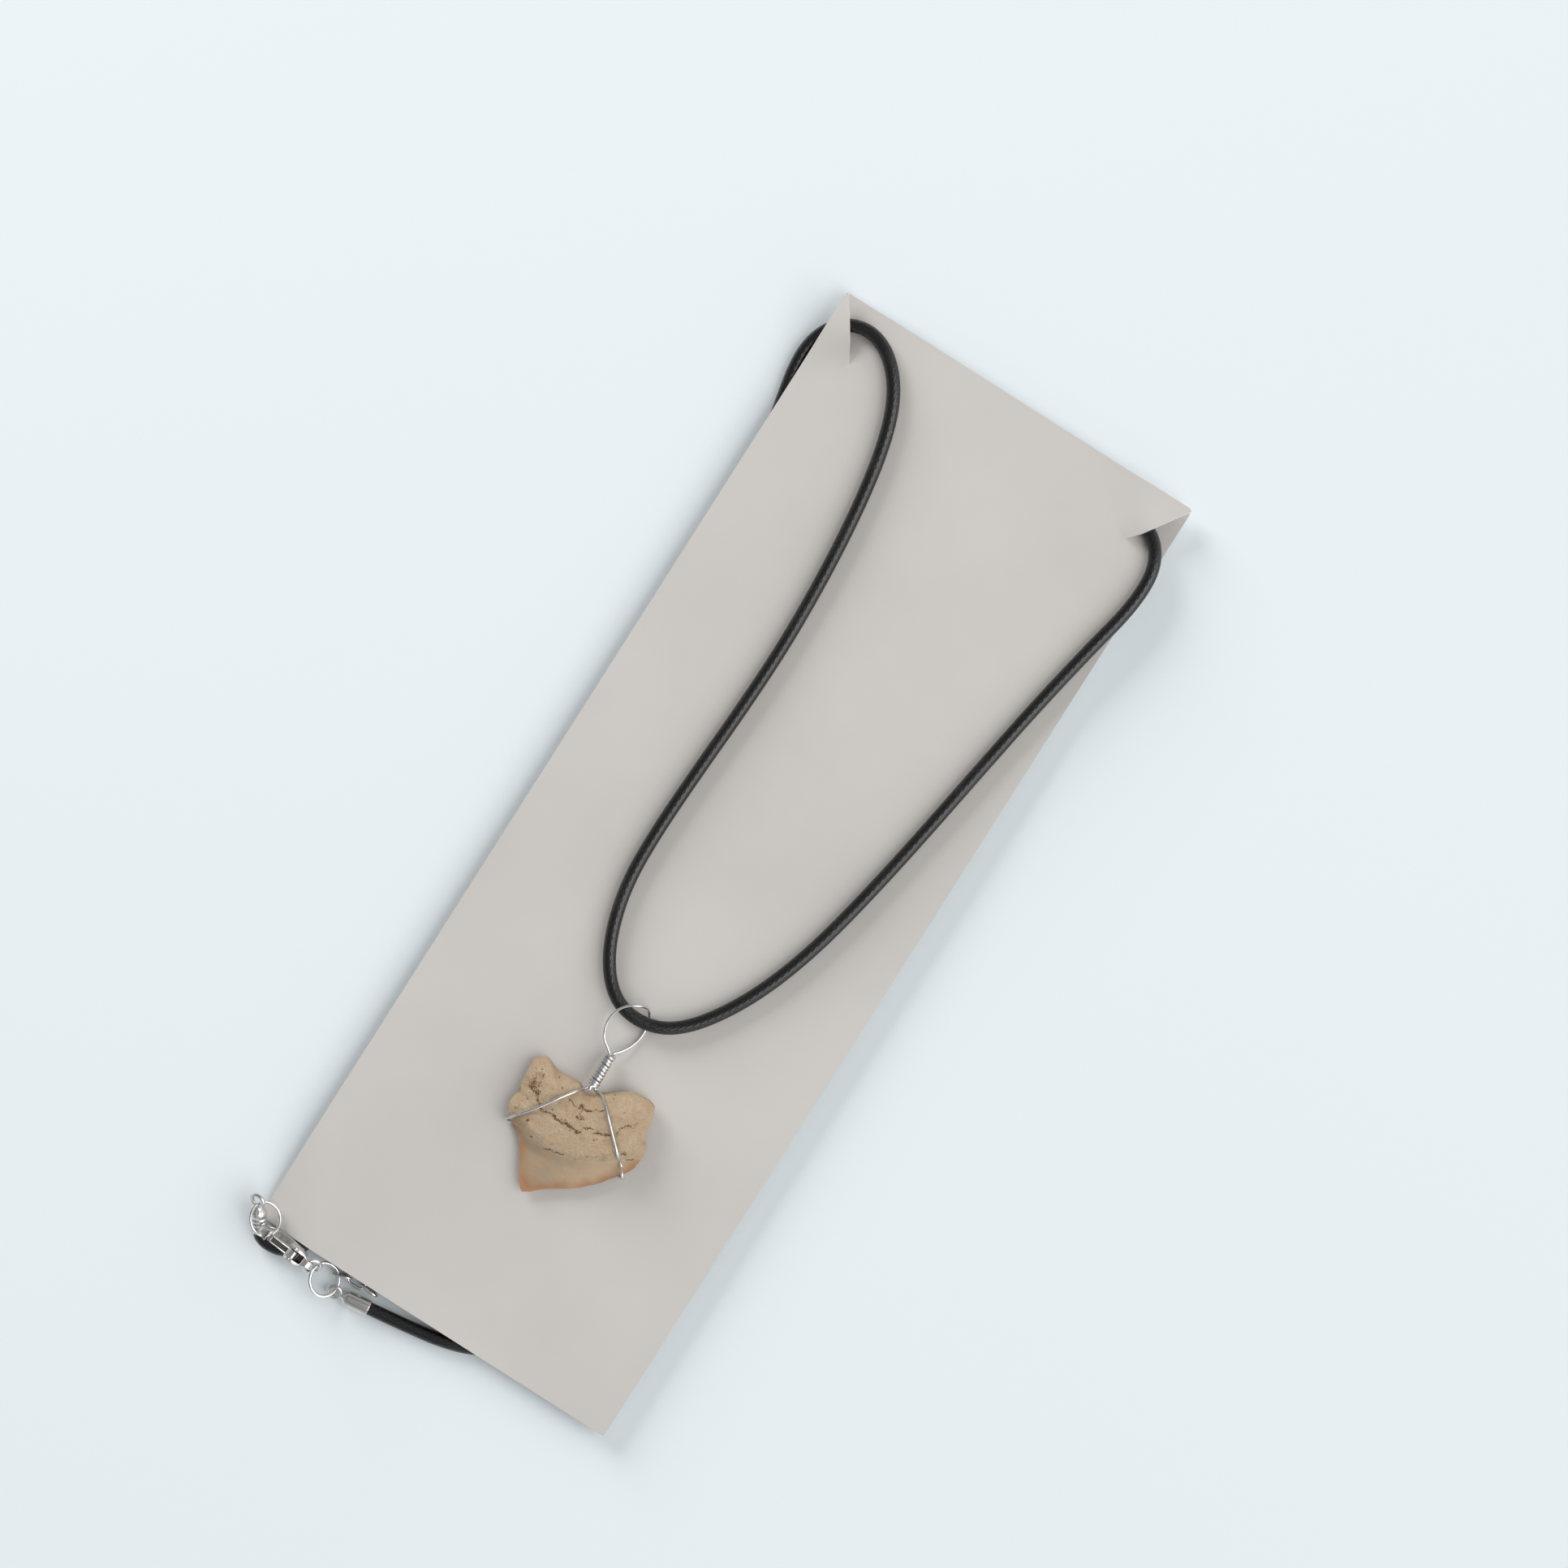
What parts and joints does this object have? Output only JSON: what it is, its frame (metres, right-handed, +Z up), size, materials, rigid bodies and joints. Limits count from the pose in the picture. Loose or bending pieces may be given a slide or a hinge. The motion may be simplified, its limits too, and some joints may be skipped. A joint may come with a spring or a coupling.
{
  "type": "shark tooth necklace on display card",
  "caption": "Wire-wrapped fossil shark tooth pendant on a round black cord with a lobster clasp, looped through the slit corners of a bare rectangular display card.",
  "frame": {"origin": "on the table under the middle of the card and its metal pieces", "axes": "+X towards the card's right edge, +Y towards its slit top edge, +Z up from the table"},
  "size_m": [0.0635, 0.1662, 0.0081],
  "materials": {
    "card": "matte warm grey card",
    "cord": "black waxed cord, low sheen",
    "tooth": "tan fossil enamel and bone",
    "silver_wire": "bright silver wire",
    "cord_end_metal": "bright silver plate",
    "ring_metal": "bright silver plate",
    "clasp_metal": "bright silver plate"
  },
  "bodies": {
    "necklace_and_card": {"card": "card", "cord": "cord", "tooth": "tooth", "wire_wrap": "silver_wire", "left_crimp": "cord_end_metal", "right_crimp": "cord_end_metal", "left_jump_ring": "ring_metal", "right_jump_ring": "ring_metal", "clasp_ring": "ring_metal", "clasp_body": "clasp_metal", "chain_link_1": "ring_metal", "chain_link_2": "ring_metal", "chain_link_3": "ring_metal"},
    "clasp_lever": {"clasp_lever": "clasp_metal"}
  },
  "joints": [
    {"name": "clasp_lever_hinge", "type": "hinge", "parent": "necklace_and_card", "child": "clasp_lever", "pos_m": [-0.02124, -0.07951, 0.00495], "axis": [-0.1132, -0.9936, 0], "range_deg": [0, 15], "stiffness_Nm_per_rad": 0.002, "springref_deg": -11.46}
  ]
}
